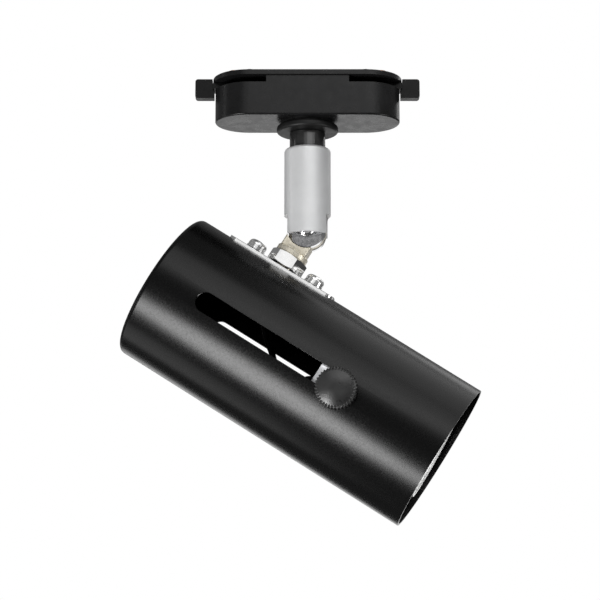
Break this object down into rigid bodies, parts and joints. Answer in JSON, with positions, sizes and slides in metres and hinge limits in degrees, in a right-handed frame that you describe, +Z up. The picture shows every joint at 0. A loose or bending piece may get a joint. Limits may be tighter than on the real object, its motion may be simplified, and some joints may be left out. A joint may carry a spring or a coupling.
{
  "type": "track spotlight",
  "caption": "Tube spotlight for a lighting track: twist-lock adapter, panning stem, tilt swivel, and a lamp on a carriage that slides in side slots and clamps with a knob.",
  "frame": {"origin": "centre of the adapter's track face, on the stem's pan axis", "axes": "+X along the track, +Z up into the track; the clamping knob is on the -Y side at rest"},
  "size_m": [0.1756, 0.0914, 0.2282],
  "materials": {
    "adapter_plastic": "satin",
    "lever_plastic": "satin",
    "contact_copper": "satin",
    "screw_steel": "polished",
    "zinc_steel": "satin",
    "rosette_black": "satin",
    "neck_black_chrome": "polished",
    "sleeve_nickel": "satin",
    "knuckle_nickel": "satin",
    "nut_chrome": "polished",
    "can_paint": "satin",
    "porcelain": "matte",
    "lamp_glass": "gloss",
    "lens_glass": "matte",
    "knob_plastic": "satin",
    "nylon": "satin",
    "lead_sleeve": "satin"
  },
  "bodies": {
    "adapter": {"adapter_housing": "adapter_plastic", "adapter_lid": "adapter_plastic", "lid_screws": "screw_steel", "contact_spring_left": "contact_copper", "contact_spring_right": "contact_copper", "adapter_leads": "lead_sleeve", "rosette": "rosette_black"},
    "left_lever": {"lever_left": "lever_plastic", "contact_left": "contact_copper"},
    "right_lever": {"lever_right": "lever_plastic", "contact_right": "contact_copper"},
    "stem": {"stem_nipple": "screw_steel", "pan_washer": "screw_steel", "pan_nut": "screw_steel", "stem_neck": "neck_black_chrome", "stem_sleeve": "sleeve_nickel", "swivel_fork": "sleeve_nickel", "pivot_bolt": "screw_steel", "pivot_nut": "screw_steel"},
    "head": {"swivel_knuckle": "knuckle_nickel", "knuckle_nut": "nut_chrome", "knuckle_lock_nut": "screw_steel", "mounting_plate": "screw_steel", "plate_washers": "screw_steel", "plate_screws": "screw_steel", "plate_nuts": "screw_steel", "can": "can_paint", "holder_leads": "lead_sleeve"},
    "carriage": {"carriage_bracket": "zinc_steel", "clamp_nut": "screw_steel", "guide_nut": "screw_steel", "guide_washer": "screw_steel", "guide_screw": "screw_steel", "lampholder": "porcelain", "holder_screws": "screw_steel", "holder_nuts": "screw_steel", "lamp_body": "lamp_glass", "lamp_lens": "lens_glass", "lamp_pins": "zinc_steel"},
    "clamp_washer": {"knob_washer": "nylon"},
    "clamp_knob": {"knob": "knob_plastic", "knob_stud": "zinc_steel"}
  },
  "joints": [
    {"name": "left_lever_turn", "type": "hinge", "parent": "adapter", "child": "left_lever", "pos_m": [-0.029, 0, 0], "axis": [0, 0, 1], "range_deg": [0, 90]},
    {"name": "right_lever_turn", "type": "hinge", "parent": "adapter", "child": "right_lever", "pos_m": [0.029, 0, 0], "axis": [0, 0, 1], "range_deg": [-90, 0]},
    {"name": "pan", "type": "hinge", "parent": "adapter", "child": "stem", "pos_m": [0, 0, 0], "axis": [0, 0, 1], "range_deg": [-175, 175]},
    {"name": "tilt", "type": "hinge", "parent": "stem", "child": "head", "pos_m": [0, 0, -0.0777], "axis": [0.0576, 0.9983, 0], "range_deg": [-32.6, 57.4]},
    {"name": "focus_slide", "type": "slide", "parent": "head", "child": "carriage", "axis": [0.8411, -0.0485, -0.5388], "range_m": [-0.076, 0.001], "deforming": ["holder_leads"]},
    {"name": "knob_backoff", "type": "slide", "parent": "carriage", "child": "clamp_washer", "axis": [-0.0894, -0.9947, -0.05], "range_m": [0, 0.0008]},
    {"name": "knob_turn", "type": "hinge", "parent": "clamp_washer", "child": "clamp_knob", "pos_m": [0.01327, -0.03986, -0.16309], "axis": [-0.0894, -0.9947, -0.05], "range_deg": [0, 360]}
  ],
  "couplings": [
    {"joint": "knob_backoff", "follows": "knob_turn", "m_per_rad": 0.00012732}
  ]
}
